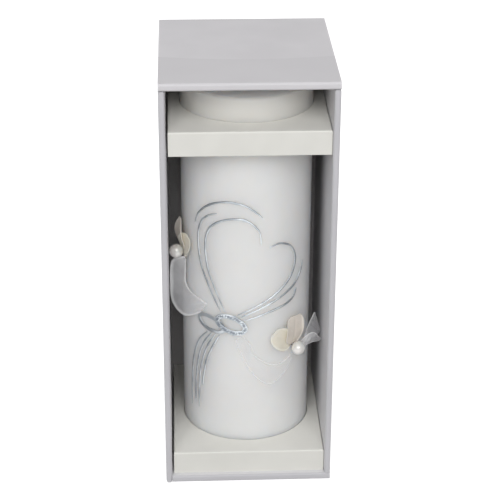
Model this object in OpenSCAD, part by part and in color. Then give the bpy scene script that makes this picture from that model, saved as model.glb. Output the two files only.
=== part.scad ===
// Boxed unity candle: an ivory pillar candle with silver wax strips, rings and
// two pearl-and-organza flowers, held by two card trays in an open-fronted box.
// Millimetres. +Z is up, the box opens towards -Y, the origin is the middle of
// the box's underside.

/* [Box] */
// Width of the box outside
box_w = 98; // [97:0.5:104]
// Depth of the box outside, back panel included
box_d = 110; // [106:1:120]
// Height of the box outside
box_h = 252.5; // [251:0.5:262]
// Thickness of a folded side wall
side_wall_t = 3.6; // [3:0.1:3.6]
// Thickness of the folded top and bottom walls
end_wall_t = 4.4; // [4:0.1:4.4]
// Thickness of the card
card_t = 0.7; // [0.5:0.1:0.8]

/* [Trays] */
// Height of a tray
tray_h = 14; // [10:0.5:15]
// Gap between a tray and each side wall
tray_gap = 0.7; // [0.6:0.1:1.2]
// How far the trays stand behind the box's front edge
tray_setback = 3.8; // [2:0.1:6]
// How far the trays and the candle sit to the right of the box's middle
insert_shift = 0.5; // [0:0.1:0.5]
// How far the candle's end stands above the top tray
candle_above_tray = 14; // [12:0.5:16]

/* [Candle] */
// Diameter of the candle
candle_d = 76; // [75:0.2:76]
// Length of the candle without its wick
candle_h = 233; // [231:0.5:233]
// Radial gap between the candle and a tray's hole
hole_gap = 0.4; // [0.3:0.1:0.8]
// Diameter of the wick
wick_d = 2.4; // [2:0.2:3]
// Length of wick above the wax
wick_free = 5; // [3:0.5:6]

/* [Decoration] */
// Width of a silver wax strip
strip_w = 1.3; // [1:0.1:1.6]
// How far a strip stands out of the wax
strip_rise = 0.55; // [0.4:0.05:0.8]
// Diameter of a pearl
pearl_d = 8.4; // [6:0.2:8.4]
// Thickness of a fabric petal
petal_t = 0.5; // [0.4:0.1:0.6]
// Thickness of the organza
organza_t = 0.4; // [0.3:0.1:0.5]

/* [Hidden] */
$fn = 96;
fold_r = 1.5;
tray_fold_r = 0.8;
wax_edge_r = 1.4;
candle_r = candle_d / 2;
wall_d = box_d - card_t;
inner_w = box_w - 2 * side_wall_t;
floor_z = end_wall_t;
side_h = box_h - end_wall_t;
tray_w = inner_w - 2 * tray_gap;
tray_front = -box_d / 2 + tray_setback;
tray_back = box_d / 2 - card_t - 0.6;
candle_top = floor_z + candle_h;
top_tray_z = candle_top - candle_above_tray - tray_h;
pin_d = 0.8;
pin_len = 14;
strip_sides = 8;
sink = 0.15;

// Each strip is a list of [angle, height] points on the candle: degrees from the
// front towards +X, and millimetres above the candle's foot.
heart_outer_left = [[12, 161], [-2, 168.5], [-18, 170.5], [-34, 167.5], [-47, 160.5], [-53, 152.5]];
heart_middle_left = [[-28, 162.5], [-37, 160], [-45, 154.5], [-49, 144], [-46, 129], [-37, 115.5],
    [-25, 99.9]];
heart_inner_left = [[11, 144], [9, 152.5], [0, 159], [-11, 160.5], [-25, 158], [-36, 152],
    [-40.5, 142], [-38, 127], [-29, 112], [-20.8, 100.2]];
heart_inner_right = [[18, 141.5], [28, 143.2], [40, 139.5], [46, 131], [42, 121.5], [31, 114],
    [14, 107], [-9.8, 99]];
heart_middle_right = [[57, 126.5], [54, 120], [45, 113.5], [30, 108.5], [14, 104], [-6.8, 97.8]];
heart_outer_right = [[48, 110.5], [44, 105.5], [34, 102.5], [18, 100], [-3.2, 95.6]];
tail_1 = [[-38.4, 84.6], [-48, 77.5], [-55.5, 66], [-59.5, 50], [-60.3, 28.5]];
tail_2 = [[-33.8, 84.8], [-42, 77.5], [-49, 66.5], [-53, 52], [-54.5, 34]];
tail_3 = [[-30.1, 84.7], [-38, 76], [-44, 66], [-48.5, 52], [-50, 29.5]];
tail_4 = [[-26.3, 84.4], [-33, 76], [-39.5, 66], [-43.5, 55], [-45, 46]];

// Both rings: angle and height of the middle, half lengths to the middle of the
// band, tilt and width of the band.
ring_left_at = [-34.5, 91];
ring_left_half = [8.6, 4.2];
ring_left_tilt = -14;
ring_left_band = 2.4;
ring_right_at = [-15, 93];
ring_right_half = [8.5, 4.7];
ring_right_tilt = -24;
ring_right_band = 3;
ring_thick = 1.1;

// Flowers: [angle, height, distance from the candle's axis] of each pearl.
pearl_left_at = [-71, 130, candle_r + 5.8];
pearl_right_at = [43, 73.5, candle_r + 5.8];

// ---- functions ----

// A point in the box's frame from an angle and a height on the candle and a
// distance from its axis.
function on_candle(p) = [insert_shift + p[2] * sin(p[0]), -p[2] * cos(p[0]), floor_z + p[1]];

// A smooth curve through the points of a list, by cubic segments.
function blend4(a, b, c, d, t) =
    0.5 * ((2 * b) + (c - a) * t + (2 * a - 5 * b + 4 * c - d) * t * t
        + (3 * b - a - 3 * c + d) * t * t * t);
function curve_at(pts, u) =
    let (n = len(pts) - 1, k = min(n - 1, floor(u * n)), t = u * n - k)
    blend4(pts[max(0, k - 1)], pts[k], pts[k + 1], pts[min(n, k + 2)], t);

// Direction along a curve on the candle's surface, in millimetres of arc and of height.
function arc_mm(degrees) = degrees * PI / 180 * candle_r;
function arc_deg(mm) = mm / candle_r * 180 / PI;
function unit(v) = v / norm(v);
function heading(pts, u) =
    let (a = curve_at(pts, max(0, u - 0.01)), b = curve_at(pts, min(1, u + 0.01)))
    unit([arc_mm(b[0] - a[0]), b[1] - a[1]]);

// One cross-section of a strip: a flat oval that is sunk a little into the wax.
function strip_ring(pts, u, w, rise) =
    let (p = curve_at(pts, u), d = heading(pts, u), slim = 0.35 + 0.65 * sqrt(sin(180 * u)))
    [for (k = [0:strip_sides - 1])
        let (a = (k + 0.5) * 360 / strip_sides, across = w / 2 * slim * cos(a))
        on_candle([p[0] + arc_deg(-d[1] * across), p[1] + d[0] * across,
            candle_r + (rise - sink) / 2 + (rise + sink) / 2 * sin(a)])];

// One cross-section of a ring: a flat oval round an ellipse that lies on the wax.
function ring_section(at, half, tilt, band, a, outset) =
    [for (k = [0:strip_sides - 1])
        let (b = (k + 0.5) * 360 / strip_sides,
            x = (half[0] + band / 2 * cos(b)) * cos(a),
            y = (half[1] + band / 2 * cos(b)) * sin(a))
        on_candle([at[0] + arc_deg(x * cos(tilt) - y * sin(tilt)),
            at[1] + x * sin(tilt) + y * cos(tilt),
            candle_r + outset + ring_thick / 2 * (1 + sin(b))])];

// A petal's middle surface: u runs from the pin to the tip, v across from -1 to 1.
function petal_point(at, turn, size, lift, cup, u, v) =
    let (along = size[0] * u, across = size[1] / 2 * sqrt(1 - pow(2 * u - 1, 2)) * v)
    on_candle([at[0] + arc_deg(along * cos(turn) - across * sin(turn)),
        at[1] + along * sin(turn) + across * cos(turn),
        at[2] + lift * sin(150 * u) + cup * v * v * sin(180 * u)]);

// A grid of points and its normals, for a thin sheet.
function grid_normal(g, i, j) =
    let (m = len(g) - 1, n = len(g[0]) - 1,
        a = g[min(m, i + 1)][j] - g[max(0, i - 1)][j],
        b = g[i][min(n, j + 1)] - g[i][max(0, j - 1)])
    unit(cross(a, b));

// ---- shared modules ----

// A closed solid from a grid of points: the sheet and its edges, t thick.
module thin_sheet(g, t) {
    m = len(g);
    n = len(g[0]);
    front = [for (i = [0:m - 1]) for (j = [0:n - 1]) g[i][j] + grid_normal(g, i, j) * t / 2];
    back = [for (i = [0:m - 1]) for (j = [0:n - 1]) g[i][j] - grid_normal(g, i, j) * t / 2];
    s = m * n;
    rim = concat([for (j = [0:n - 2]) j], [for (i = [0:m - 2]) i * n + n - 1],
        [for (j = [n - 1:-1:1]) (m - 1) * n + j], [for (i = [m - 1:-1:1]) i * n]);
    polyhedron(concat(front, back), concat(
        [for (i = [0:m - 2]) for (j = [0:n - 2]) for (f = [0, 1])
            f == 0 ? [i * n + j, i * n + j + 1, i * n + n + j + 1]
                : [i * n + j, i * n + n + j + 1, i * n + n + j]],
        [for (i = [0:m - 2]) for (j = [0:n - 2]) for (f = [0, 1])
            f == 0 ? [s + i * n + j, s + i * n + n + j + 1, s + i * n + j + 1]
                : [s + i * n + j, s + i * n + n + j, s + i * n + n + j + 1]],
        [for (k = [0:len(rim) - 1]) for (f = [0, 1])
            let (a = rim[k], b = rim[(k + 1) % len(rim)])
            f == 0 ? [a, s + a, s + b] : [a, s + b, b]]));
}

// A closed tube through a list of rings, its ends capped or joined to each other.
module skin(rings, closed) {
    m = len(rings);
    n = len(rings[0]);
    last = closed ? m - 1 : m - 2;
    sides = [for (i = [0:last]) for (k = [0:n - 1]) for (f = [0, 1])
        let (a = i * n + k, b = i * n + (k + 1) % n, c = ((i + 1) % m) * n + (k + 1) % n,
            d = ((i + 1) % m) * n + k)
        f == 0 ? [a, c, b] : [a, d, c]];
    ends = closed ? [] : concat([for (k = [1:n - 2]) [0, k, k + 1]],
        [for (k = [1:n - 2]) [(m - 1) * n, (m - 1) * n + k + 1, (m - 1) * n + k]]);
    polyhedron([for (r = rings) each r], concat(sides, ends));
}

module wax_strip(pts) {
    n = 3 * (len(pts) - 1);
    color("silver") skin([for (i = [0:n]) strip_ring(pts, i / n, strip_w, strip_rise)], false);
}

module wax_ring(at, half, tilt, band, rise_left, rise_right) {
    color("gainsboro") skin([for (i = [0:35])
        let (a = -10 * i, mid = (rise_left + rise_right) / 2, swing = (rise_right - rise_left) / 2)
        ring_section(at, half, tilt, band, a, mid + swing * cos(a))], true);
}

module petal(at, turn, size, lift, cup, tone) {
    color(tone) thin_sheet([for (i = [0:7]) [for (j = [-3:3])
        petal_point(at, turn, size, lift, cup, 0.04 + 0.92 * i / 7, j / 3)]], petal_t);
}

// Organza between two hems, each a list of [angle, height, distance] points.
module organza(hem_a, hem_b, steps) {
    color("whitesmoke", 0.5) thin_sheet([for (i = [0:steps]) [for (j = [0:3])
        let (a = curve_at(hem_a, i / steps), b = curve_at(hem_b, i / steps))
        on_candle(a + (b - a) * j / 3)]], organza_t);
}

// A U of folded card: two skins joined by a rounded fold at the front. It is
// drawn in a plane with the fold at x = 0 and the skins from y = 0 to y = t.
module fold_outline(depth, t, r) {
    translate([r, 0]) square([depth - r, t]);
    translate([0, r]) square([r, t - 2 * r]);
    for (y = [r, t - r]) translate([r, y]) circle(r);
}

module folded_wall(depth, t, length) {
    difference() {
        linear_extrude(length) fold_outline(depth, t, fold_r);
        translate([card_t + 0.4, card_t, card_t])
            cube([depth, t - 2 * card_t, length - 2 * card_t]);
    }
}

// A side wall stands up, and its two ends are rounded as seen from the front.
module side_wall(z0, z1) {
    end_r = side_wall_t / 2 - 0.2;
    color([0.78, 0.78, 0.81]) intersection() {
        translate([0, -box_d / 2, z0]) rotate([0, 0, 90]) mirror([0, 1, 0])
            folded_wall(wall_d, side_wall_t, z1 - z0);
        translate([0, box_d / 2, z0]) rotate([90, 0, 0]) linear_extrude(box_d) {
            translate([0, end_r]) square([side_wall_t, z1 - z0 - 2 * end_r]);
            translate([end_r, 0]) square([side_wall_t - 2 * end_r, z1 - z0]);
            for (x = [end_r, side_wall_t - end_r], z = [end_r, z1 - z0 - end_r])
                translate([x, z]) circle(end_r);
        }
    }
}

// An end wall lies flat and runs across the box from x0 to x1.
module end_wall(x0, x1, z) {
    color([0.8, 0.8, 0.83]) translate([x0, -box_d / 2, z]) rotate([90, 0, 90])
        folded_wall(wall_d, end_wall_t, x1 - x0);
}

// A tray is a lid-shaped card platform with rounded folds and a round hole.
module tray_block(w, d, h, r) {
    intersection() {
        rotate([90, 0, 0]) linear_extrude(2 * d, center = true) fold_cap(w, h, r);
        rotate([90, 0, 90]) linear_extrude(2 * w, center = true) fold_cap(d, h, r);
    }
}

module fold_cap(w, h, r) {
    translate([-w / 2, 0]) square([w, h - r]);
    translate([-w / 2 + r, 0]) square([w - 2 * r, h]);
    for (x = [-w / 2 + r, w / 2 - r]) translate([x, h - r]) circle(r);
}

module tray(z) {
    d = tray_back - tray_front;
    color("ivory") translate([insert_shift, 0, z]) difference() {
        translate([0, (tray_front + tray_back) / 2, 0]) difference() {
            tray_block(tray_w, d, tray_h, tray_fold_r);
            translate([0, 0, -1]) linear_extrude(tray_h + 1 - card_t)
                square([tray_w - 2 * card_t, d - 2 * card_t], center = true);
        }
        cylinder(h = 3 * tray_h, r = candle_r + hole_gap, center = true);
    }
}

// ---- parts ----

module box_back() {
    color([0.45, 0.45, 0.46]) translate([-box_w / 2, box_d / 2 - card_t, 0])
        cube([box_w, card_t, box_h]);
}

module box_left_wall() {
    translate([-box_w / 2, 0, 0]) side_wall(0, side_h);
}

module box_right_wall() {
    translate([box_w / 2, 0, 0]) mirror([1, 0, 0]) side_wall(end_wall_t, side_h);
}

module box_top_wall() {
    end_wall(-box_w / 2, box_w / 2, side_h);
}

module box_bottom_wall() {
    end_wall(-box_w / 2 + side_wall_t, box_w / 2, 0);
}

module bottom_tray() {
    tray(floor_z);
}

module top_tray() {
    tray(top_tray_z);
}

module candle_body() {
    color([0.97, 0.96, 0.92]) translate([insert_shift, 0, floor_z]) rotate_extrude() difference() {
        union() {
            translate([0, wax_edge_r]) square([candle_r, candle_h - 2 * wax_edge_r]);
            square([candle_r - wax_edge_r, candle_h]);
            for (z = [wax_edge_r, candle_h - wax_edge_r])
                translate([candle_r - wax_edge_r, z]) circle(wax_edge_r);
        }
        translate([0, -1]) square([wick_d / 2, candle_h + 2]);
    }
}

module wick() {
    color("white") translate([insert_shift, 0, floor_z])
        cylinder(h = candle_h + wick_free, d = wick_d);
}

module heart_strip_1() { wax_strip(heart_outer_left); }
module heart_strip_2() { wax_strip(heart_middle_left); }
module heart_strip_3() { wax_strip(heart_inner_left); }
module heart_strip_4() { wax_strip(heart_inner_right); }
module heart_strip_5() { wax_strip(heart_middle_right); }
module heart_strip_6() { wax_strip(heart_outer_right); }
module tail_strip_1() { wax_strip(tail_1); }
module tail_strip_2() { wax_strip(tail_2); }
module tail_strip_3() { wax_strip(tail_3); }
module tail_strip_4() { wax_strip(tail_4); }

// The left ring dips under the right one on its right-hand side.
module ring_left() {
    wax_ring(ring_left_at, ring_left_half, ring_left_tilt, ring_left_band, 0.1, 0.1);
}

module ring_right() {
    wax_ring(ring_right_at, ring_right_half, ring_right_tilt, ring_right_band, 1.5, 0.1);
}

module pearl(at) {
    color("floralwhite") translate(on_candle(at)) rotate([0, 0, at[0]]) difference() {
        sphere(d = pearl_d);
        rotate([-90, 0, 0]) cylinder(h = pearl_d, d = pin_d);
    }
}

// A pin runs from the middle of its pearl into the wax, square to the candle.
module pin(at) {
    color("silver") translate(on_candle(at)) rotate([-90, 0, at[0]])
        cylinder(h = pin_len, d = pin_d);
}

module pearl_left() { pearl(pearl_left_at); }
module pearl_right() { pearl(pearl_right_at); }
module pin_left() { pin(pearl_left_at); }
module pin_right() { pin(pearl_right_at); }

module petal_left_cream() {
    petal([-71, 128, candle_r + 1.2], 62, [16, 13], 0.8, 1.2, "cornsilk");
}

module petal_left_beige() {
    petal([-73, 130, candle_r + 0.6], 95, [20, 13], 2.2, 1, "wheat");
}

module petal_right_cream() {
    petal([42, 75, candle_r + 0.6], 142, [17, 13.5], 0.8, 1, "cornsilk");
}

module petal_right_beige() {
    petal([42, 75, candle_r + 1.4], 86, [19, 13], 1.2, 1, "wheat");
}

module organza_left_swag() {
    organza([[-66, 125, 39], [-68.5, 117, 38.6], [-68.5, 110, 38.6], [-60, 106.5, 38.6],
            [-47, 105, 38.6], [-38.5, 103, 38.6]],
        [[-68, 127, 39.6], [-75.5, 122.5, 45.5], [-74, 109, 47.2], [-71, 97, 46.8],
            [-60, 91, 43], [-45, 96, 39.4]], 14);
}

module organza_right_swag() {
    organza([[-6, 86.5, 38.8], [1, 81, 38.8], [5, 74, 38.8], [11, 69.4, 38.8], [23, 64.7, 38.8],
            [33, 65.5, 38.8], [41, 69, 39.4]],
        [[-12, 83, 38.9], [-7, 75, 40.5], [0, 65.6, 42], [8, 58, 42.4], [17, 54, 42.6],
            [27, 57.5, 42.4], [38, 66, 42]], 16);
}

module organza_leaf() {
    organza([[56, 74.5, 40.3], [62, 79.5, 40.4], [68, 83, 41], [73.5, 86.5, 42.2]],
        [[60, 70.5, 40.6], [74.5, 73, 45.4], [75.4, 79.5, 44.2], [74.6, 86, 42.5]], 8);
}

module organza_curl() {
    organza([[49.5, 75, 41.2], [52, 80.6, 45.4], [57, 80.4, 47], [62.8, 75.8, 47.6],
            [67.5, 72, 47.9]],
        [[50.5, 69.5, 40.8], [53, 72, 43.6], [57.5, 73.2, 46], [62.8, 71.9, 47.1],
            [67.5, 71.2, 47.8]], 10);
}

box_back();
box_left_wall();
box_right_wall();
box_top_wall();
box_bottom_wall();
bottom_tray();
top_tray();
candle_body();
wick();
heart_strip_1();
heart_strip_2();
heart_strip_3();
heart_strip_4();
heart_strip_5();
heart_strip_6();
tail_strip_1();
tail_strip_2();
tail_strip_3();
tail_strip_4();
ring_left();
ring_right();
pearl_left();
pearl_right();
pin_left();
pin_right();
petal_left_cream();
petal_left_beige();
petal_right_cream();
petal_right_beige();
organza_left_swag();
organza_right_swag();
organza_leaf();
organza_curl();
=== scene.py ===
# %% [markdown]
# # A unity candle in its presentation box
# A unity candle is the pillar that a couple lights together. This one stands in two
# ivory card trays inside an open-fronted box, with a heart of silver wax strips, two
# rings and two small flowers of satin, organza and pearls. The box, trays, candle and
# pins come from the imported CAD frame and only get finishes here. Everything soft or
# finely worked is made below as its own surface, and takes the place of a plain CAD
# solid.

import math

import bpy
import numpy as np
from mathutils import Matrix, Vector


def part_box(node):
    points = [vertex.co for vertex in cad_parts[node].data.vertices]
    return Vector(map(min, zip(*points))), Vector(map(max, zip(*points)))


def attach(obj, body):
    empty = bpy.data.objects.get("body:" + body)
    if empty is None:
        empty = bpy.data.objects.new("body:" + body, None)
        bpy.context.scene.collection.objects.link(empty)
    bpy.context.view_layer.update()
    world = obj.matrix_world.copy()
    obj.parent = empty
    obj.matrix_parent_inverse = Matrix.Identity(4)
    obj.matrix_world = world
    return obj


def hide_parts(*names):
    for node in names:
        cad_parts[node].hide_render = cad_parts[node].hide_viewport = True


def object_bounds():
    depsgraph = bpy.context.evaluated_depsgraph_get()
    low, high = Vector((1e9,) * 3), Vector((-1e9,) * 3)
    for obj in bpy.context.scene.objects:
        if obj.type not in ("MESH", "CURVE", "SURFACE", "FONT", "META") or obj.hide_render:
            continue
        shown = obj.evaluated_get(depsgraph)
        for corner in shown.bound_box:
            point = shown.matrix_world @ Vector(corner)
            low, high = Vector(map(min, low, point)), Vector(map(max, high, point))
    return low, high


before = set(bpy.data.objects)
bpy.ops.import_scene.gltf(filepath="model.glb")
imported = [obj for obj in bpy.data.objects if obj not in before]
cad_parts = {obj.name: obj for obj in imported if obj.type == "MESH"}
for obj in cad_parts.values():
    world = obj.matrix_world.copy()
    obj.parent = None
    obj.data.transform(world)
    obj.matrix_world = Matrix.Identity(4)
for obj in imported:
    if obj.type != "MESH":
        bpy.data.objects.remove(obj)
cad_low, cad_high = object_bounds()
MM = 0.001

# %% [markdown]
# ## The camera and the light come first
# A camera is easiest to judge when it is placed once, in metres, from the direction it
# looks in. Two angles say where it points and a third how far it leans, and the three
# directions that follow from them are the columns of its matrix. A long lens keeps the
# upright edges of the box nearly parallel.

# %% Camera
VIEW_YAW, VIEW_PITCH, VIEW_ROLL = (math.radians(a) for a in (2.62, 26.15, 0.25))
VIEW_POINT = Vector((-0.03616, -0.85368, 0.54674))
LENS_MM = 115.17


def camera_directions(yaw, pitch, roll):
    """Right, up and backwards for a camera turned yaw from +Y towards +X and pitched
    down: forward comes from the two angles, right lies level and square to it, up is
    their cross product, and the roll turns right and up about forward."""
    forward = Vector((math.sin(yaw) * math.cos(pitch), math.cos(yaw) * math.cos(pitch),
                      -math.sin(pitch)))
    level = Vector((math.cos(yaw), -math.sin(yaw), 0))
    upright = level.cross(forward)
    right = math.cos(roll) * level + math.sin(roll) * upright
    up = math.cos(roll) * upright - math.sin(roll) * level
    return right, up, -forward


camera = bpy.data.objects.new("camera", bpy.data.cameras.new("camera"))
bpy.context.scene.collection.objects.link(camera)
axes = Matrix(camera_directions(VIEW_YAW, VIEW_PITCH, VIEW_ROLL)).transposed()
camera.matrix_world = Matrix.Translation(VIEW_POINT) @ axes.to_4x4()
camera.data.lens = LENS_MM
camera.data.sensor_width = 36
camera.data.clip_start, camera.data.clip_end = 0.05, 60
bpy.context.scene.camera = camera
print("the camera is", round((VIEW_POINT - Vector((0, 0, 0.12))).length, 3), "m away")

# %% [markdown]
# ## Soft studio light
# White things are shaped only by soft shadows, so the light has to be large. One wide
# panel stands in front, about 35 degrees up, another hangs high overhead, a small one
# puts a glint on pearls and foil, and the world adds a dim, even white everywhere. The
# panels are turned by aiming their -Z at the middle of the box.

# %% Lights and world
SCENE_MIDDLE = Vector((0, 0, 0.12))
PANELS = {  # name: (place, width, height, watts)
    "key": ((-0.1, -1.33, 1.05), 1.3, 0.9, 12.5),
    "overhead": ((0.0, 0.3, 3.0), 2.4, 2.4, 20.0),
    "sparkle": ((-0.12, -1.2, 0.95), 0.12, 0.12, 0.8),
}
for name, (place, width, height, watts) in PANELS.items():
    lamp = bpy.data.lights.new(name, "AREA")
    lamp.shape, lamp.size, lamp.size_y, lamp.energy = "RECTANGLE", width, height, watts
    panel = bpy.data.objects.new(name, lamp)
    bpy.context.scene.collection.objects.link(panel)
    panel.location = place
    aim = SCENE_MIDDLE - Vector(place)
    panel.rotation_euler = aim.to_track_quat("-Z", "Y").to_euler()

world = bpy.data.worlds.new("studio")
bpy.context.scene.world = world
world.use_nodes = True
WORLD_STRENGTH = 0.44
sky = world.node_tree.nodes["Background"]
sky.inputs["Color"].default_value = (1.0, 1.0, 1.0, 1)
sky.inputs["Strength"].default_value = WORLD_STRENGTH
bpy.context.scene.view_settings.view_transform = "Standard"
print("light panels:", list(PANELS), "world:", WORLD_STRENGTH)

# %% [markdown]
# ## A small language for finishes
# A finish is a graph of nodes. Written out node by node it is long and hard to read, so
# a `Wire` stands for one output and understands arithmetic: each `+` or `*` adds a Math
# node. Everything else comes from `Finish.node`, which takes the node's type, its
# settings and its inputs. Values that are the same all over a surface are set straight
# on the shader, which keeps them exact when the model is exported.

# %% Wires and finishes
class Wire:
    """One output socket. Arithmetic on it adds Math nodes to its finish."""

    def __init__(self, finish, socket):
        self.finish, self.socket = finish, socket

    def maths(self, operation, *values):
        return self.finish.node("Math", {"operation": operation}, dict(enumerate(values)))

    def __add__(self, other):
        return self.maths("ADD", self, other)

    def __sub__(self, other):
        return self.maths("SUBTRACT", self, other)

    def __rsub__(self, other):
        return self.maths("SUBTRACT", other, self)

    def __mul__(self, other):
        return self.maths("MULTIPLY", self, other)

    __radd__, __rmul__ = __add__, __mul__

    def size(self):
        return self.maths("ABSOLUTE", self)

    def sine(self):
        return self.maths("SINE", self)

    def root(self):
        return self.maths("SQRT", self)

    def step(self, start, end):
        """0 before start, 1 after end and a smooth rise between them. With start above
        end it falls instead."""
        settings = {"interpolation_type": "SMOOTHSTEP", "clamp": True}
        low, high = min(start, end), max(start, end)
        to = (0.0, 1.0) if start < end else (1.0, 0.0)
        return self.finish.node("MapRange", settings, {
            "Value": self, "From Min": low, "From Max": high,
            "To Min": to[0], "To Max": to[1]})


class Finish:
    """A material: one Principled shader and the nodes that drive it."""

    def __init__(self, name, **uniform):
        self.material = bpy.data.materials.new(name)
        self.material.use_nodes = True
        self.tree = self.material.node_tree
        self.shader = self.tree.nodes["Principled BSDF"]
        self.set(**uniform)

    def set(self, **values):
        """Sets or links the shader's sockets: base_color means Base Color."""
        for key, value in values.items():
            name = key.replace("_", " ").title().replace("Ior", "IOR")
            self.plug(self.shader.inputs[name], value)
        return self

    def plug(self, socket, value):
        """Links a wire to a socket, or sets the socket's own value. A colour of three
        numbers gets its fourth."""
        if isinstance(value, Wire):
            self.tree.links.new(value.socket, socket)
        elif socket.type == "RGBA" and len(value) == 3:
            socket.default_value = (*value, 1.0)
        else:
            socket.default_value = value

    def node(self, kind, settings=None, inputs=None, output=0):
        """Adds any node: its type, then its settings, then its sockets by name or
        number. The stops of a ramp are (place, colour) pairs."""
        made = self.tree.nodes.new("ShaderNode" + kind)
        for key, value in (settings or {}).items():
            if key == "stops":
                ramp = made.color_ramp.elements
                while len(ramp) < len(value):
                    ramp.new(0.5)
                for element, (place, tone) in zip(ramp, value):
                    element.position, element.color = place, (*tone, 1.0)
            else:
                setattr(made, key, value)
        for key, value in (inputs or {}).items():
            self.plug(made.inputs[key], value)
        return Wire(self, made.outputs[output])

    def place(self):
        """The three Object coordinates, in metres."""
        point = self.node("TexCoord", output="Object")
        split = self.node("SeparateXYZ", inputs={0: point})
        return [Wire(self, split.socket.node.outputs[i]) for i in range(3)]

    def noise(self, scale, detail=2.0, roughness=0.5, at=None):
        """Cloudy noise with so many lumps to the metre."""
        at = at or self.node("TexCoord", output="Object")
        return self.node("TexNoise", inputs={
            "Vector": at, "Scale": scale, "Detail": detail, "Roughness": roughness})

    def mix(self, share, one, two):
        """A colour between two others."""
        settings = {"data_type": "RGBA"}
        wire = self.node("Mix", settings, {0: share, 6: one, 7: two})
        return Wire(self, wire.socket.node.outputs[2])

    def bump(self, height, depth_mm, strength=1.0):
        """Relief whose height 1 stands depth_mm out of the surface."""
        return self.node("Bump", inputs={
            "Height": height, "Distance": depth_mm * MM, "Strength": strength})


def srgb(*levels):
    """A colour given in screen levels from 0 to 255, as the linear light that shaders
    use: each level is scaled to 0-1 and the screen's curve is undone."""
    x = np.array(levels, float) / 255
    return tuple(float(v) for v in np.where(x <= 0.04045, x / 12.92,
                                            ((x + 0.055) / 1.055) ** 2.4))


def dimmed(tone, share):
    """The same colour with only a share of its light."""
    return tuple(share * c for c in tone)


def from_axis(x, y, centre):
    """How far a point is from an upright axis: the root of the sum of the squares of its
    two distances."""
    across, along = x - centre[0], y - centre[1]
    return (across * across + along * along).root()


print("a mid grey of 128 is", round(srgb(128)[0], 3), "of full light")

# %% [markdown]
# ## Coated card for the box
# The box is folded from card with a pearly grey-lilac coating. Such a coating is smooth
# but not glossy: it has a very fine linen grain, a slow cloudiness, and turns paler
# where a fold has stretched it. The folds lie on the box's outer edges, so their place
# can be worked out from the Object coordinates and the CAD box.

# %% Box card and its lining
box_low, box_high = cad_low, cad_high
box_front = box_low.y
HALF_HEIGHT = (box_high.z - box_low.z) / 2
SIDE_WALL_MM, END_WALL_MM = 3.6, 4.4
# Centre and radius of the circle that bounds the painted shade on the top panel.
SHADE_ARC_CENTRE, SHADE_ARC_RADIUS = (0.003, 0.237), 0.253
CARD_TONE, INSIDE_TONE = srgb(202, 201, 205), srgb(228, 227, 229)
SHADED = 0.93  # share of light in the darker clouds of the coating
LINEN = 5200  # radians to the metre, which makes threads 1.2 mm apart


def edge_glow(x, y, z, reach_mm):
    """1 on the outer edges of the box and 0 further than reach from them: a point is on
    an edge when it is close to two outer faces at once, so the nearness to each pair
    of faces is multiplied and the greatest product is kept."""
    reach = reach_mm * MM
    side = x.size().step(box_high.x - reach, box_high.x)
    end = (z - (box_low.z + box_high.z) / 2).size().step(HALF_HEIGHT - reach, HALF_HEIGHT)
    front = y.step(box_front + reach, box_front)
    worn = (side * front).maths("MAXIMUM", side * front, end * front)
    return worn.maths("MAXIMUM", worn, side * end)


def coated_card(name, tone, painted_arc_shade=False):
    """Pearly coated card. Fine noise stretched along two directions gives the linen
    grain, slow noise the clouding, and the fold lines are paler. The box's inner faces
    take the inside tone. When asked for, the top panel's part outside a circle, in front
    of a faint arc, gets a painted shade that makes it slightly darker."""
    finish = Finish(name, roughness=0.42, coat_weight=0.12, coat_roughness=0.35,
                    specular_ior_level=0.45)
    x, y, z = finish.place()
    clouds = finish.noise(26, 3)
    grain = finish.noise(2600, 2, 0.6)
    colour = finish.mix(clouds.step(0.3, 0.75), dimmed(tone, SHADED), tone)
    colour = finish.mix(edge_glow(x, y, z, 1.1) * 0.35, colour, srgb(238, 237, 240))
    # Painted shade: the top panel in front of the faint arc is painted a little darker.
    if painted_arc_shade:
        away = from_axis(x, y, SHADE_ARC_CENTRE) - SHADE_ARC_RADIUS
        arc_shade_mask = away.step(-0.4 * MM, 1.2 * MM)
        on_top = z.step(box_high.z - 1.2 * MM, box_high.z - 0.4 * MM)
        colour = finish.mix(arc_shade_mask * on_top * 0.6, colour, dimmed(tone, 0.86))
    within = x.size().step(box_high.x - (SIDE_WALL_MM - 0.2) * MM,
                           box_high.x - (SIDE_WALL_MM + 0.2) * MM)
    under = (z - (box_low.z + box_high.z) / 2).size().step(
        HALF_HEIGHT - (END_WALL_MM - 0.2) * MM, HALF_HEIGHT - (END_WALL_MM + 0.1) * MM)
    colour = finish.mix(within * under, colour, INSIDE_TONE)
    threads = (x * LINEN).sine() * (z * LINEN).sine() + (y * LINEN).sine() * 0.5
    finish.set(base_color=colour, roughness=0.38 + grain * 0.12,
               normal=finish.bump(grain * 0.7 + threads * 0.15, 0.02, 0.5))
    return finish


# Painted light: the top panel's card is a lighter copy of the sides' card, and it carries
# the painted arc shade.
painted_lighter_top_finish = coated_card("pearl_card_top_painted_lighter", srgb(215, 213, 216), painted_arc_shade=True)
side_finish = coated_card("pearl_card", CARD_TONE)

# The back panel is coated outside and plain grey inside. Its two faces lie at different
# depths, so the depth chooses between them.
back_low, back_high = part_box("box_back")
lining = Finish("grey_lining", roughness=0.85)
x, y, z = lining.place()
outside = y.step(back_low.y + 0.3 * MM, back_high.y - 0.1 * MM)
fibres = lining.noise(1400, 3)
inner_tone = lining.mix(fibres.step(0.3, 0.7), srgb(196, 194, 194), srgb(208, 206, 206))
outer_tone = lining.mix(lining.noise(26, 3).step(0.3, 0.75), dimmed(CARD_TONE, SHADED),
                        CARD_TONE)
lining.set(base_color=lining.mix(outside, inner_tone, outer_tone),
           roughness=0.85 - outside * 0.42, normal=lining.bump(fibres, 0.03, 0.5))
print("box front at y =", round(box_front, 4), "back panel", round(back_low.y, 4),
      "to", round(back_high.y, 4))

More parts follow.
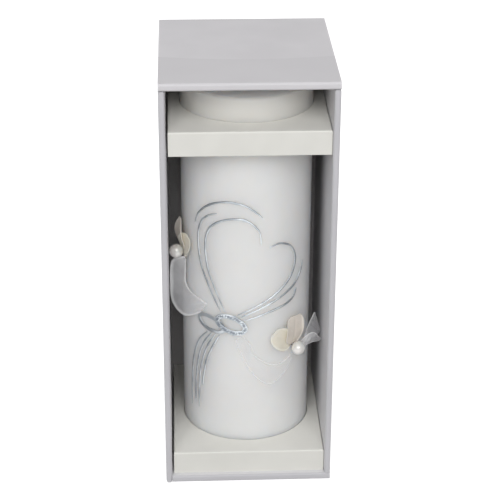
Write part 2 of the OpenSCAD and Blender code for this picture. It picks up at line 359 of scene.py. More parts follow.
# %% [markdown]
# ## Uncoated card for the trays
# The two trays are lid-shaped platforms of uncoated ivory card with a round hole. Bare
# card shows short fibres, catches light evenly, is paler where it is folded over, and
# shows its core at a cut edge. The hole's edge is a known circle round the candle's
# axis, so a thin ring of distance picks it out.

# %% Tray card
candle_low, candle_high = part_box("candle_body")
AXIS_X = (candle_low.x + candle_high.x) / 2
AXIS_Y = (candle_low.y + candle_high.y) / 2
CANDLE_RADIUS = (candle_high.x - candle_low.x) / 2
FOOT = candle_low.z


def bare_card(name, tray):
    """Ivory card: fibres from stretched noise, pale folds along the tray's outer edges
    and a paler core round the hole."""
    low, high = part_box(tray)
    finish = Finish(name, roughness=0.78, specular_ior_level=0.3)
    x, y, z = finish.place()
    fibres = finish.noise(900, 4, 0.65)
    clouds = finish.noise(40, 2)
    colour = finish.mix(clouds.step(0.3, 0.7), srgb(230, 229, 223), srgb(235, 234, 228))
    colour = finish.mix(fibres.step(0.62, 0.8) * 0.35, colour, srgb(214, 212, 204))
    near_top = (high.z - z).step(1.2 * MM, 0.3 * MM)
    front_fold = (y - low.y).step(1.0 * MM, 0.2 * MM) * near_top
    side_fold = (x - (low.x + high.x) / 2).size().step(
        (high.x - low.x) / 2 - 0.9 * MM, (high.x - low.x) / 2 - 0.2 * MM)
    side_fold = side_fold * near_top
    away = from_axis(x, y, (AXIS_X, AXIS_Y)) - CANDLE_RADIUS
    cut = away.step(0.95 * MM, 0.55 * MM)
    pale = front_fold.maths("MAXIMUM", front_fold, side_fold)
    colour = finish.mix(pale * 0.5, colour, srgb(243, 242, 236))
    colour = finish.mix(cut * 0.6, colour, srgb(238, 236, 226))
    finish.set(base_color=colour, normal=finish.bump(fibres, 0.04, 0.6))
    return finish


tray_finishes = {tray: bare_card(tray + "_card", tray)
                 for tray in ("bottom_tray", "top_tray")}
print("candle axis at x =", round(AXIS_X, 5), "radius", round(CANDLE_RADIUS, 5))

# %% [markdown]
# ## Wax
# Candle wax is white only on the average. Light goes a few millimetres into it and
# comes out warmer, its skin is satin, and slow ripples and small specks are left by the
# mould. Subsurface scattering gives the depth. The ripples are only relief and a very
# small change of tone, because a clean pillar candle looks almost even. The upper side,
# in the shade of the box's top, gets a painted shade and is a little creamier and darker.

# %% Wax finish
wax = Finish("ivory_wax", roughness=0.45, subsurface_weight=0.85,
             subsurface_radius=(1.0, 0.9, 0.8), subsurface_scale=18 * MM,
             specular_ior_level=0.4, coat_weight=0.08, coat_roughness=0.3)
clouds = wax.noise(30, 3)
specks = wax.noise(700, 2)
x, y, z = wax.place()
away = from_axis(x, y, (AXIS_X, AXIS_Y))
# Painted shade: the upper side of the candle, fading in from 26 mm below the top, is
# painted creamier and darker.
painted_top_shade = away.step(CANDLE_RADIUS - 1.6 * MM, CANDLE_RADIUS - 0.8 * MM) * z.step(
    candle_high.z - 26 * MM, candle_high.z - 10 * MM)
white = wax.mix(clouds.step(0.3, 0.7), srgb(236, 236, 235), srgb(240, 240, 239))
wax.set(base_color=wax.mix(painted_top_shade * 0.6, white, srgb(219, 215, 206)),
        roughness=0.4 + specks * 0.14,
        normal=wax.bump(clouds * 1.0 + specks * 0.08, 0.12, 0.35))
print("wax scatters light over", wax.shader.inputs["Subsurface Scale"].default_value, "m")

# %% [markdown]
# ## Silver foil wax, pearl, satin, organza, cotton and steel
# The strips are wax faced with silver foil: a metal with a soft reflection that breaks
# up where fingers pressed it. A pearl is a pale body under a clear coat with faint pink
# and green clouds. Satin and organza are woven, so their patterns follow each piece's
# own UV map, which is drawn in metres. Organza is so open that it is mostly hole: its
# alpha is low between the hems and high on them.

# %% Foil, pearl, cotton and steel
foil = Finish("silver_foil", metallic=0.85, roughness=0.35)
pressed = foil.noise(420, 3, 0.6)
tarnish = foil.noise(95, 2)
engraved = foil.node("Attribute", {"attribute_name": "engraved"}, output="Fac")
silver = foil.mix(tarnish.step(0.38, 0.62), srgb(166, 172, 178), srgb(208, 214, 218))
foil.set(base_color=foil.mix(engraved.step(0.12, 0.42) * 0.9, silver, srgb(118, 125, 134)),
         roughness=0.3 + pressed * 0.14, normal=foil.bump(pressed, 0.03, 0.4))

nacre = Finish("nacre", roughness=0.22, coat_weight=1.0, coat_roughness=0.05,
               coat_ior=2.1, specular_ior_level=0.8, subsurface_weight=0.12,
               subsurface_radius=(1.0, 0.85, 0.7), subsurface_scale=1.5 * MM)
orient = nacre.noise(160, 2)
nacre_tone = nacre.node("ValToRGB", {"stops": [
    (0.3, srgb(232, 226, 222)), (0.5, srgb(232, 231, 226)), (0.7, srgb(224, 229, 226))]},
    {0: orient})
nacre.set(base_color=nacre_tone, roughness=0.2 + nacre.noise(900) * 0.08,
          normal=nacre.bump(nacre.noise(500), 0.01, 0.4))

cotton = Finish("wick_cotton", roughness=0.9)
strand = cotton.noise(2400, 3)
cotton.set(base_color=cotton.mix(strand.step(0.35, 0.7), srgb(214, 208, 192),
                                 srgb(240, 236, 224)),
           normal=cotton.bump(strand, 0.06, 0.8))

steel = Finish("pin_steel", metallic=1.0, roughness=0.2)
drawn = steel.noise(1800, 2)
steel.set(base_color=steel.mix(drawn, srgb(176, 178, 182), srgb(208, 210, 214)),
          roughness=0.15 + drawn * 0.15)


# %% Satin and organza
def woven(finish, pitch_mm):
    """Two sets of threads from the piece's UV map in metres: a raised sine along and one
    across, with one thread each pitch."""
    at = finish.node("UVMap", {"uv_map": "cloth"})
    parts = finish.node("SeparateXYZ", inputs={0: at})
    u, v = (Wire(finish, parts.socket.node.outputs[i]) for i in range(2))
    turns = 2 * math.pi / (pitch_mm * MM)
    return (u * turns).sine() * 0.5 + 0.5, (v * turns).sine() * 0.5 + 0.5


def satin(name, tone, painted_rim_highlight_tone, painted_root_shade_tone):
    """Satin: long floating threads that shine along the petal, a painted highlight that
    makes the curled rim paler and a painted shade that darkens the middle near the pin. The
    rim and middle come from the piece's rim and root attributes."""
    finish = Finish(name, roughness=0.5, sheen_weight=0.35, sheen_roughness=0.4,
                    subsurface_weight=0.15, subsurface_radius=(1.0, 0.8, 0.6),
                    subsurface_scale=1.0 * MM)
    warp, weft = woven(finish, 0.32)
    rim = finish.node("Attribute", {"attribute_name": "rim"}, output="Fac")
    root = finish.node("Attribute", {"attribute_name": "root"}, output="Fac")
    blotch = finish.noise(220, 2)
    colour = finish.mix(blotch.step(0.3, 0.7), tone, dimmed(tone, 0.95))
    # Painted shade near the pin, then a painted highlight on the curled rim.
    colour = finish.mix(root.step(0.1, 0.9) * 0.6, colour, painted_root_shade_tone)
    colour = finish.mix(rim.step(0.72, 0.95) * 0.8, colour, painted_rim_highlight_tone)
    finish.set(base_color=colour, roughness=0.44 + warp * 0.14,
               normal=finish.bump(warp * 0.4 + weft * 0.8 + blotch, 0.03, 0.5))
    return finish


def sheer(name, thread, edge):
    """Organza: white threads with gaps. Alpha is the share of thread, higher by the
    edge value on the hems, and it wavers a little with the weave."""
    finish = Finish(name, roughness=0.55, sheen_weight=0.2, specular_ior_level=0.5)
    warp, weft = woven(finish, 0.45)
    hem = finish.node("Attribute", {"attribute_name": "hem"}, output="Fac")
    crumple = finish.noise(300, 2)
    threads = warp.maths("MAXIMUM", warp.step(0.35, 0.9), weft.step(0.35, 0.9))
    open_weave = threads * 0.2 + crumple.step(0.35, 0.75) * 0.1 + 0.8
    alpha = open_weave * thread + hem * edge
    colour = finish.mix(hem, srgb(240, 240, 242), srgb(252, 252, 252))
    finish.set(base_color=colour, alpha=alpha,
               normal=finish.bump(warp * 0.5 + weft * 0.5, 0.01, 0.4))
    return finish


# After each satin's own tone come its painted rim highlight and its painted shade near the
# pin.
cream = satin("cream_satin", srgb(240, 234, 218), srgb(251, 248, 238), srgb(233, 226, 208))
beige = satin("beige_satin", srgb(238, 229, 218), srgb(242, 234, 224), srgb(231, 220, 206))
organza = sheer("organza", 0.31, 0.42)
fine_organza = sheer("fine_organza", 0.05, 0.2)
print("finishes:", len(bpy.data.materials))

# %% [markdown]
# ## Dress the CAD nodes
# A node whose shape is already right keeps its mesh and only gets a finish.

# %% Give the kept nodes their finishes
node_finish = {"box_top_wall": painted_lighter_top_finish, "box_back": lining, "candle_body": wax,
               "pin_left": steel, "pin_right": steel, **tray_finishes}
for name in ("box_left_wall", "box_right_wall", "box_bottom_wall"):
    node_finish[name] = side_finish
for name, finish in node_finish.items():
    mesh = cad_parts[name].data
    mesh.materials.clear()
    mesh.materials.append(finish.material)
print("dressed:", sorted(node_finish))

# %% [markdown]
# ## Surfaces on a cylinder
# All the trimming lies on or near the candle's round side. It is easiest to draw it
# with an angle round the candle, a height above the foot and a distance from the axis,
# as if the side were unrolled, and to wrap it round at the end. Every shape below is a
# grid of such points.

# %% Points, curves and grids
def on_candle(angle, height, reach):
    """Wraps unrolled points round the candle: x is the axis plus reach times the sine
    of the angle, y is minus reach times its cosine, z is the foot plus the height.
    Degrees and millimetres go in and metres come out."""
    turn = np.radians(angle)
    reach = reach * MM
    return np.stack(np.broadcast_arrays(AXIS_X + reach * np.sin(turn),
                                        AXIS_Y - reach * np.cos(turn),
                                        FOOT + height * MM), -1)


def smooth_curve(points, u):
    """A curve through the points, with u from 0 to 1: between two points it is the cubic
    whose slope at each is half the step between that point's neighbours."""
    p = np.asarray(points, float)
    n = len(p) - 1
    k = np.clip((u * n).astype(int), 0, n - 1)
    t = (u * n - k)[..., None]
    a, b, c, d = p[np.maximum(k - 1, 0)], p[k], p[k + 1], p[np.minimum(k + 2, n)]
    return 0.5 * (2 * b + (c - a) * t + (2 * a - 5 * b + 4 * c - d) * t ** 2
                  + (3 * b - a - 3 * c + d) * t ** 3)


def degrees_for(mm):
    """The angle that a length round the candle's side covers."""
    return np.degrees(np.asarray(mm) * MM / CANDLE_RADIUS)


def grid_quads(rows, columns, loop_rows=False, loop_columns=False):
    """The corners of each quad of a grid of points, joined end to end where it loops."""
    i = np.arange(rows if loop_rows else rows - 1)[:, None]
    j = np.arange(columns if loop_columns else columns - 1)[None, :]
    down, right = (i + 1) % rows, (j + 1) % columns
    corners = [i * columns + j, i * columns + right, down * columns + right,
               down * columns + j]
    return np.stack([c + 0 * (i + j) for c in corners], -1).reshape(-1, 4)


def make_piece(name, points, quads, finish, body, triangles=(), flip=False):
    """A finished mesh from an array of points and the quads and triangles between them.
    It rides on its CAD body and takes the finish it is given."""
    faces = [list(map(int, q)) for q in quads] + [list(map(int, t)) for t in triangles]
    if flip:
        faces = [f[::-1] for f in faces]
    mesh = bpy.data.meshes.new(name)
    mesh.from_pydata(points.reshape(-1, 3).tolist(), [], faces)
    mesh.validate()
    mesh.update()
    mesh.polygons.foreach_set("use_smooth", np.ones(len(mesh.polygons), bool))
    mesh.materials.append(finish.material)
    piece = bpy.data.objects.new(name, mesh)
    bpy.context.scene.collection.objects.link(piece)
    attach(piece, body)
    return piece


def capped_tube(rings):
    """Quads along a tube of rings, and a fan of triangles to a middle point at each end.
    Returns all points, the quads and the triangles."""
    rows, columns = rings.shape[:2]
    points = np.concatenate([rings.reshape(-1, 3), rings[0].mean(0, keepdims=True),
                             rings[-1].mean(0, keepdims=True)])
    k = np.arange(columns)
    first, last = rows * columns, rows * columns + 1
    start = np.stack([np.full(columns, first), (k + 1) % columns, k], -1)
    base = (rows - 1) * columns
    end = np.stack([np.full(columns, last), base + k, base + (k + 1) % columns], -1)
    fans = np.concatenate([start, end])
    return points, grid_quads(rows, columns, loop_columns=True), fans


def outward(points, quads, triangles=()):
    """The volume that the faces enclose, positive when they face outwards: the sum over
    triangles of a . (b x c) / 6."""
    p = points.reshape(-1, 3)
    tris = [quads[:, [0, 1, 2]], quads[:, [0, 2, 3]]]
    if len(triangles):
        tris.append(np.asarray(triangles))
    t = np.concatenate(tris)
    a, b, c = p[t[:, 0]], p[t[:, 1]], p[t[:, 2]]
    return float((a * np.cross(b, c)).sum() / 6)


print("a finger's width of 15 mm covers", round(float(degrees_for(15)), 1), "degrees")

# %% [markdown]
# ## The heart: ten strips of foiled wax
# On the real candle thin strips are cut from foiled wax, bent by hand and pressed on.
# They could be curves with a bevel, but then the section could not widen, thin out to
# the tips and show finger marks. So each strip is a section carried along a smooth
# line: a low half-round with two soft shoulders, sunk slightly into the candle.

# %% Strip lines, as angle and height on the candle
STRIP_WIDTH, STRIP_RISE, SUNK = 1.3, 0.55, 0.15
STRIPS = {
    "heart_strip_1": [(12, 161), (-2, 168.5), (-18, 170.5), (-34, 167.5), (-47, 160.5),
                      (-53, 152.5)],
    "heart_strip_2": [(-28, 162.5), (-37, 160), (-45, 154.5), (-49, 144), (-46, 129),
                      (-37, 115.5), (-25, 99.9)],
    "heart_strip_3": [(11, 144), (9, 152.5), (0, 159), (-11, 160.5), (-25, 158),
                      (-36, 152), (-40.5, 142), (-38, 127), (-29, 112), (-20.8, 100.2)],
    "heart_strip_4": [(18, 141.5), (28, 143.2), (40, 139.5), (46, 131), (42, 121.5),
                      (31, 114), (14, 107), (-9.8, 99)],
    "heart_strip_5": [(57, 126.5), (54, 120), (45, 113.5), (30, 108.5), (14, 104),
                      (-6.8, 97.8)],
    "heart_strip_6": [(48, 110.5), (44, 105.5), (34, 102.5), (18, 100), (-3.2, 95.6)],
    "tail_strip_1": [(-38.4, 84.6), (-48, 77.5), (-55.5, 66), (-59.5, 50), (-60.3, 28.5)],
    "tail_strip_2": [(-33.8, 84.8), (-42, 77.5), (-49, 66.5), (-53, 52), (-54.5, 34)],
    "tail_strip_3": [(-30.1, 84.7), (-38, 76), (-44, 66), (-48.5, 52), (-50, 29.5)],
    "tail_strip_4": [(-26.3, 84.4), (-33, 76), (-39.5, 66), (-43.5, 55), (-45, 46)],
}


def strip_rings(line, seed, steps=150, sides=16):
    """Sections of a strip along its line. Across the strip the height is a flattened
    half-round with a shallow groove in the middle. The width follows a slim sine that
    reaches a rounded point at each end, times a gentle waver."""
    u = np.linspace(0, 1, steps)
    at = smooth_curve(line, u)
    ahead = smooth_curve(line, np.minimum(u + 0.004, 1))
    behind = smooth_curve(line, np.maximum(u - 0.004, 0))
    step = ahead - behind
    step[:, 0] = np.radians(step[:, 0]) * CANDLE_RADIUS / MM
    step /= np.linalg.norm(step, axis=1, keepdims=True)
    waver = 1 + 0.07 * np.sin(23 * u + seed) + 0.04 * np.sin(61 * u + 2 * seed)
    slim = np.sqrt(np.clip(1 - np.abs(2 * u - 1) ** 14, 0.02, 1))
    slim = slim * (0.55 + 0.45 * np.sqrt(np.sin(math.pi * np.clip(u, 0.02, 0.98))))
    a = (np.arange(sides) + 0.5) * 2 * math.pi / sides
    across = STRIP_WIDTH / 2 * np.cos(a)[None, :] * (slim * waver)[:, None]
    groove = 1 - 0.22 * np.exp(-(np.cos(a) / 0.3) ** 2) * (np.sin(a) > 0)
    rise = (STRIP_RISE * (np.sin(a) > 0) + SUNK * (np.sin(a) <= 0)) * np.sin(a) * groove
    rise = rise[None, :] * np.clip(slim, 0.4, 1)[:, None]
    angle = at[:, 0, None] - degrees_for(step[:, 1, None] * across)
    height = at[:, 1, None] + step[:, 0, None] * across
    return on_candle(angle, height, CANDLE_RADIUS / MM + rise)


for number, (name, line) in enumerate(STRIPS.items()):
    points, quads, fans = capped_tube(strip_rings(line, number))
    piece = make_piece(name + "_foil", points, quads, foil, "candle", fans,
                       flip=outward(points, quads, fans) < 0)
    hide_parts(name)
print("strips:", len(STRIPS), "faces in the last:", len(piece.data.polygons))

# %% [markdown]
# ## The two rings
# A pair of wedding rings, pressed from the same foiled wax, joins the strips. A torus
# would be quick, but these are flat bands with raised rims. The band is a section
# carried round an ellipse. The right ring is wider, has scrolls engraved between its
# rims, and leans out on its left so that it rides over the left one.

# %% Rings
RING_THICK = 1.1
# Each row: the middle as angle and height, half lengths, tilt, width of the band, its
# stand-off on the left and on the right, and how many scrolls go round it.
RINGS = {
    "ring_left": ((-34.5, 91), (8.6, 4.2), -14, 2.4, (0.1, 0.1), 0),
    "ring_right": ((-15, 93), (8.5, 4.7), -24, 3.0, (1.5, 0.1), 10),
}


def ring_rings(at, half, tilt, band, lift, scrolls, steps=300, sides=40):
    """Sections of a band round an ellipse. In the section the height is a flat oval
    with two rims, the scrolls are waves engraved on the slant between the rims, and
    the stand-off from the wax goes from one value on the left to another on the
    right. Returns the points and how deep each one is engraved."""
    a = -np.arange(steps) * 2 * math.pi / steps
    b = (np.arange(sides) + 0.5) * 2 * math.pi / sides
    wide = band / 2 * np.cos(b)[None, :] * (1 + 0 * a[:, None])
    x = (half[0] + wide) * np.cos(a)[:, None]
    y = (half[1] + wide) * np.sin(a)[:, None]
    valley = np.exp(-(np.cos(b) / 0.68) ** 4) * (np.sin(b) > 0)
    slant = scrolls * a[:, None] + 2.4 * np.cos(b)[None, :]
    scroll = 0.5 + 0.5 * np.sin(slant) * np.cos(2 * scrolls * a[:, None] + 1)
    cut = valley[None, :] * (0.6 - 0.5 * scroll if scrolls else 0.34)
    tall = RING_THICK / 2 * (1 + np.sin(b)[None, :] * (1 - cut))
    engraved = cut if scrolls else np.zeros_like(x)
    stand = np.mean(lift) + (lift[1] - lift[0]) / 2 * np.cos(a)
    turn = math.radians(tilt)
    angle = at[0] + degrees_for(x * math.cos(turn) - y * math.sin(turn))
    height = at[1] + x * math.sin(turn) + y * math.cos(turn)
    return on_candle(angle, height, CANDLE_RADIUS / MM + stand[:, None] + tall), engraved


for name, (at, half, tilt, band, lift, scrolls) in RINGS.items():
    points, engraved = ring_rings(at, half, tilt, band, lift, scrolls)
    quads = grid_quads(*points.shape[:2], loop_rows=True, loop_columns=True)
    piece = make_piece(name + "_band", points, quads, foil, "candle",
                       flip=outward(points, quads) < 0)
    mark = piece.data.attributes.new("engraved", "FLOAT", "POINT")
    mark.data.foreach_set("value", engraved.astype(np.float32).ravel())
    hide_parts(name)
print("rings:", list(RINGS))

# %% [markdown]
# ## Pearls and the wick
# A pearl bead is not quite a ball: it is a touch flattened along its hole and slightly
# uneven. A sphere grid with small waves added to its radius does that, closed with a
# fan at each pole. The wick is a flat braid of three strands, each a tube that weaves
# left, right, over and under.

# %% Pearls
PEARLS = {"pearl_left": (-71, 130, 43.8), "pearl_right": (43, 73.5, 43.8)}
PEARL_RADIUS = 4.2


def pearl_rings(place, seed, rows=48, columns=72):
    """A ball whose radius varies by about one percent: rows of latitude round the
    direction of the hole, which points at the candle's axis."""
    centre = on_candle(*place)
    out = np.array([math.sin(math.radians(place[0])), -math.cos(math.radians(place[0])), 0])
    side = np.array([-out[1], out[0], 0])
    tip = np.linspace(0.04, math.pi - 0.04, rows)[:, None]
    turn = (np.arange(columns) * 2 * math.pi / columns)[None, :]
    radius = PEARL_RADIUS * (0.988 + 0.006 * np.sin(2 * turn + seed) * np.sin(tip)
                             + 0.005 * np.cos(3 * tip + seed))
    radius = radius - 0.5 * np.exp(-((math.pi - tip) / 0.11) ** 2) + 0 * turn
    ray = (np.cos(tip)[..., None] * out + (np.sin(tip) * np.cos(turn))[..., None] * side
           + (np.sin(tip) * np.sin(turn))[..., None] * np.array([0, 0, 1]))
    return centre + ray * radius[..., None] * MM


for number, (name, place) in enumerate(PEARLS.items()):
    points, quads, fans = capped_tube(pearl_rings(place, number + 1))
    piece = make_piece(name + "_bead", points, quads, nacre, "candle", fans,
                       flip=outward(points, quads, fans) < 0)
    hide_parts(name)
print("pearl beads:", list(PEARLS))

# %% Wick
wick_low, wick_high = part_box("wick")
WICK_WIDTH = wick_high.x - wick_low.x


def tube_rings(path, radius, sides):
    """Round sections along a path of points: the two directions across come from the
    path's own heading and a fixed sideways one."""
    ahead = np.gradient(path, axis=0)
    ahead /= np.linalg.norm(ahead, axis=1, keepdims=True)
    side = np.cross(ahead, [0.0, 1.0, 0.0])
    side /= np.linalg.norm(side, axis=1, keepdims=True)
    other = np.cross(side, ahead)
    a = np.arange(sides) * 2 * math.pi / sides
    return (path[:, None, :] + radius[:, None, None]
            * (np.cos(a)[None, :, None] * side[:, None, :]
               + np.sin(a)[None, :, None] * other[:, None, :]))


def braid_strand(share, pitch_mm=5.0, steps_per_pitch=18):
    """One strand of a three-strand braid, share of a turn behind the others: it swings
    across once and dips in front and behind twice in each pitch."""
    length = wick_high.z - wick_low.z
    steps = int(length / (pitch_mm * MM) * steps_per_pitch)
    z = np.linspace(wick_low.z + 0.2 * MM, wick_high.z - 0.3 * MM, steps)
    t = (z - wick_low.z) / (pitch_mm * MM) * 2 * math.pi + share * 2 * math.pi
    thick = 0.21 * WICK_WIDTH
    x = AXIS_X + 0.27 * WICK_WIDTH * np.sin(t)
    y = AXIS_Y + 0.15 * WICK_WIDTH * np.sin(2 * t)
    taper = np.clip((wick_high.z - z) / (0.8 * MM), 0.55, 1)
    return np.stack([x, y, z], -1), thick * taper


strands = [capped_tube(tube_rings(*braid_strand(k / 3), 10)) for k in range(3)]
offsets = np.cumsum([0] + [len(s[0]) for s in strands[:-1]])
wick_piece = make_piece(
    "wick_braid", np.concatenate([s[0] for s in strands]),
    np.concatenate([s[1] + o for s, o in zip(strands, offsets)]), cotton, "candle",
    np.concatenate([s[2] + o for s, o in zip(strands, offsets)]),
    flip=outward(*strands[0]) < 0)
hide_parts("wick")
print("the wick stands", round((wick_high.z - candle_high.z) / MM, 1), "mm out of the wax")

# %% [markdown]
# ## Satin petals
# Each flower has a cream and a beige petal, punched from satin, heat-shaped so that the
# rim curls up, and held by the pearl's pin. A petal is a grid whose u runs from the pin
# to the tip and v from side to side. An outline function gives the width at u, and the
# lift and the cup bend it away from the wax. Solidify then gives the cloth thickness.

# %% Petal surfaces
CLOTH_THICK = 0.35 * MM
OVAL_SHARE = 0.8  # a petal's area over that of the rectangle round it
# Each row: place, turn, length and width, lift, cup, fullness, tip, finish and slot.
PETALS = {
    "petal_left_cream": ((-71, 128, 39.2), 62, (16, 13), 0.8, 1.2, 2.0, 1.0, cream,
                         "petal_cream"),
    "petal_left_beige": ((-73, 130, 38.6), 95, (20, 13), 2.2, 1.0, 1.8, 0.75, beige,
                         "petal_beige"),
    "petal_right_cream": ((42, 75, 38.6), 142, (17, 13.5), 0.8, 1.0, 2.4, 1.0, cream,
                          "petal_cream"),
    "petal_right_beige": ((42, 75, 39.4), 86, (19, 13), 1.2, 1.0, 3.4, 1.15, beige,
                          "petal_beige"),
}


def petal_grid(place, turn, size, lift, cup, full, point, rows=56, columns=41):
    """Points of a petal's middle surface. The half width is a superellipse of u whose
    far end is drawn to a tip by the point value. The height off the wax rises along
    the petal and with the square of v, with a curled rim and a shallow middle crease.
    Returns the points, the flat coordinates in metres, the rim and the root."""
    u = np.linspace(0.02, 0.99, rows)[:, None]
    v = np.linspace(-1, 1, columns)[None, :]
    warped = u ** point
    half = size[1] / 2 * (1 - np.abs(2 * warped - 1) ** full) ** (1 / full)
    along, across = size[0] * u + 0 * v, half * v
    rim = np.maximum(np.abs(v) + 0 * u, (u - 0.5).clip(0) * 2 * (1 + 0 * v))
    curl = 0.45 * np.clip(rim - 0.78, 0, 1) ** 2 / 0.05
    crease = -0.18 * np.exp(-(across / 0.8) ** 2) * np.sin(math.pi * u)
    ripple = 0.14 * np.sin(9 * u + 3 * v) * np.abs(v)
    off = place[2] + lift * np.sin(np.radians(150) * u) + cup * v ** 2 * np.sin(math.pi * u)
    off = off + np.minimum(curl, 0.5) + crease + ripple
    angle = math.radians(turn)
    points = on_candle(
        place[0] + degrees_for(along * math.cos(angle) - across * math.sin(angle)),
        place[1] + along * math.sin(angle) + across * math.cos(angle), off)
    flat = np.stack([across, along], -1) * MM
    return points, flat, rim, 1 - u + 0 * v


def cloth_piece(name, points, flat, finish, slot, thick, **marks):
    """A sheet as a piece: its grid of points, a UV map in metres from its flat
    coordinates, one attribute for each mark, and a Solidify for its thickness."""
    rows, columns = points.shape[:2]
    quads = grid_quads(rows, columns)
    piece = make_piece(name, points, quads, finish, "candle")
    mesh = piece.data
    corner = np.empty(len(mesh.loops), np.int32)
    mesh.loops.foreach_get("vertex_index", corner)
    layer = mesh.uv_layers.new(name="cloth")
    layer.data.foreach_set("uv", flat.reshape(-1, 2)[corner].astype(np.float32).ravel())
    for mark, values in marks.items():
        attribute = mesh.attributes.new(mark, "FLOAT", "POINT")
        attribute.data.foreach_set("value", np.asarray(values, np.float32).ravel())
    solid = piece.modifiers.new("thickness", "SOLIDIFY")
    solid.thickness, solid.offset = thick, 0
    return piece


def flat_area(points):
    """The area of a grid of points, summed over its quads as half the length of the
    cross product of their diagonals."""
    one = points[1:, 1:] - points[:-1, :-1]
    two = points[1:, :-1] - points[:-1, 1:]
    return float(np.linalg.norm(np.cross(one, two), axis=-1).sum() / 2)


for name, (place, turn, size, lift, cup, full, point, finish, slot) in PETALS.items():
    points, flat, rim, root = petal_grid(place, turn, size, lift, cup, full, point)
    piece = cloth_piece(name + "_satin", points, flat, finish, slot, CLOTH_THICK,
                        rim=rim, root=root)
    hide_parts(name)
    size[1] * MM
    size[0] * MM
    OVAL_SHARE * size[0] * size[1] * MM * MM
    print(name, "cloth area", round(flat_area(points) * 1e6, 1), "mm2")

# %% [markdown]
# ## Organza
# The bows are sheer organza ribbon with a bright woven edge. A ribbon held by a pin
# falls into a swag: its two hems follow different lines, and the cloth between them
# bellies out and ripples. So a piece of organza is a surface between two hem lines,
# with waves that fade out at the hems. Cloth simulation would lose the exact line of
# the hems, which is what one sees of such thin stuff.

# %% Hem lines, as angle, height and distance from the axis
ORGANZA_THICK = 0.15 * MM
# Each row: the two hems, their widths, belly, ripple, flat size and how it is held. The
# flat sizes are round figures with about the area of the finished surface.
ORGANZA = {
    "organza_left_swag": (
        [(-66, 125, 39), (-68.5, 117, 38.6), (-68.5, 110, 38.6), (-60, 106.5, 38.6),
         (-47, 105, 38.6), (-38.5, 103, 38.6)],
        [(-68, 127, 39.6), (-75.5, 122.5, 45.5), (-74, 109, 47.2), (-71, 97, 46.8),
         (-60, 91, 43), (-45, 96, 39.4)],
        (0.9, 2.2), 0.6, 0.25, (0.0125, 0.040), "draped"),
    "organza_right_swag": (
        [(-6, 86.5, 38.8), (1, 81, 38.8), (5, 74, 38.8), (11, 69.4, 38.8),
         (23, 64.7, 38.8), (33, 65.5, 38.8), (41, 69, 39.4)],
        [(-12, 83, 38.9), (-7, 75, 40.5), (0, 65.6, 42), (8, 58, 42.4), (17, 54, 42.6),
         (27, 57.5, 42.4), (38, 66, 42)],
        (0.9, 0.9), 0.5, 0.25, (0.010, 0.045), "draped"),
    "organza_leaf": (
        [(56, 74.5, 40.3), (62, 79.5, 40.4), (68, 83, 41), (73.5, 86.5, 42.2)],
        [(60, 70.5, 40.6), (74.5, 73, 45.4), (75.4, 79.5, 44.2), (74.6, 86, 42.5)],
        (0.6, 0.4), 0.4, 0.2, (0.010, 0.016), "gathered"),
    "organza_curl": (
        [(49.5, 75, 41.2), (52, 80.6, 45.4), (57, 80.4, 47), (62.8, 75.8, 47.6),
         (67.5, 72, 47.9)],
        [(50.5, 69.5, 40.8), (53, 72, 43.6), (57.5, 73.2, 46), (62.8, 71.9, 47.1),
         (67.5, 71.2, 47.8)],
        (0.9, 0.5), 0.3, 0.2, (0.010, 0.0115), "gathered"),
}


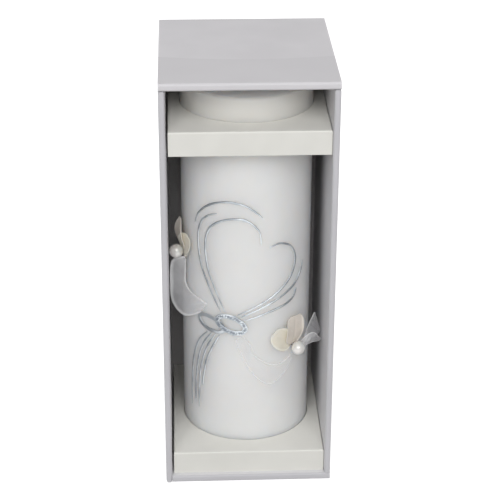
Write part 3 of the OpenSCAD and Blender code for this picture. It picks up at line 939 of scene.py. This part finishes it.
def organza_grid(hem_a, hem_b, hems, belly, ripple, rows=120, columns=33):
    """Points between two smooth hem lines, straight across in unrolled coordinates,
    pushed out by a half sine of v times the belly and by waves that run along the
    cloth. Returns the points, flat coordinates in metres and the hem mark, which is
    1 on a hem as wide as asked, about a half where the cloth is gathered at its start
    and 0 elsewhere."""
    u = np.linspace(0, 1, rows)
    v = np.linspace(0, 1, columns)
    a, b = smooth_curve(hem_a, u), smooth_curve(hem_b, u)
    at = a[:, None, :] + (b - a)[:, None, :] * v[None, :, None]
    swell = np.sin(math.pi * v)[None, :] * np.sin(math.pi * u)[:, None] ** 0.5
    wave = np.sin(31 * u[:, None] + 5 * v[None, :]) + 0.6 * np.sin(17 * u[:, None] - 4 * v)
    reach = at[..., 2] + belly * swell + ripple * wave * np.sin(math.pi * v)[None, :]
    points = on_candle(at[..., 0], at[..., 1], reach)
    across = np.linalg.norm(np.diff(points, axis=1), axis=-1).cumsum(1)
    across = np.concatenate([np.zeros((rows, 1)), across], 1)
    along = np.linalg.norm(np.diff(points, axis=0), axis=-1).mean(1).cumsum()
    along = np.concatenate([[0], along])[:, None] + 0 * across
    left = across[:, -1:] - across
    near_a, near_b = across / (hems[0] * MM), left / (hems[1] * MM)
    hem = np.clip(1.5 - 1.2 * np.minimum(near_a, near_b), 0, 1)
    gathered = np.exp(-(u / 0.2) ** 2)[:, None] * (0.35 + 0.3 * v)
    hem = np.maximum(hem, gathered)
    return points, np.stack([across, along], -1), hem


for name, (hem_a, hem_b, hems, belly, ripple, flat_size, held) in ORGANZA.items():
    points, flat, hem = organza_grid(hem_a, hem_b, hems, belly, ripple)
    finish = fine_organza if name == "organza_right_swag" else organza
    piece = cloth_piece(name + "_cloth", points, flat, finish, "organza", ORGANZA_THICK,
                        hem=hem)
    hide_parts(name)
    side = "left" if "left" in name else "right"
    "pin_" + side
    print(name, "area", round(flat_area(points) * 1e6, 1), "mm2, flat",
          round(flat_size[0] * flat_size[1] * 1e6, 1), "mm2")

# %% [markdown]
# ## The floor
# The box stands on a pale, plain floor. It is much larger than the object, so that its
# edge never shows, and it isn't part of the object. It glows faintly so that it reads as
# a plain ground, and that glow is kept from lighting the object from below.

# %% Floor
FLOOR_HALF = 12.0
floor_points = np.array([(-1, -1, 0), (1, -1, 0), (1, 1, 0), (-1, 1, 0)], float)
floor_mesh = bpy.data.meshes.new("floor")
floor_mesh.from_pydata((floor_points * FLOOR_HALF).tolist(), [], [(0, 1, 2, 3)])
floor = bpy.data.objects.new("floor", floor_mesh)
bpy.context.scene.collection.objects.link(floor)
floor.location.z = cad_low.z - 0.0002
floor_finish = Finish("pale_floor", roughness=0.9, emission_color=(1, 1, 1),
                      emission_strength=0.58)
floor_finish.set(base_color=floor_finish.mix(floor_finish.noise(3), (0.93, 0.93, 0.93),
                                             (0.95, 0.95, 0.95)))
floor_mesh.materials.append(floor_finish.material)
floor.visible_diffuse = False
print("the floor is", 2 * FLOOR_HALF, "m square")
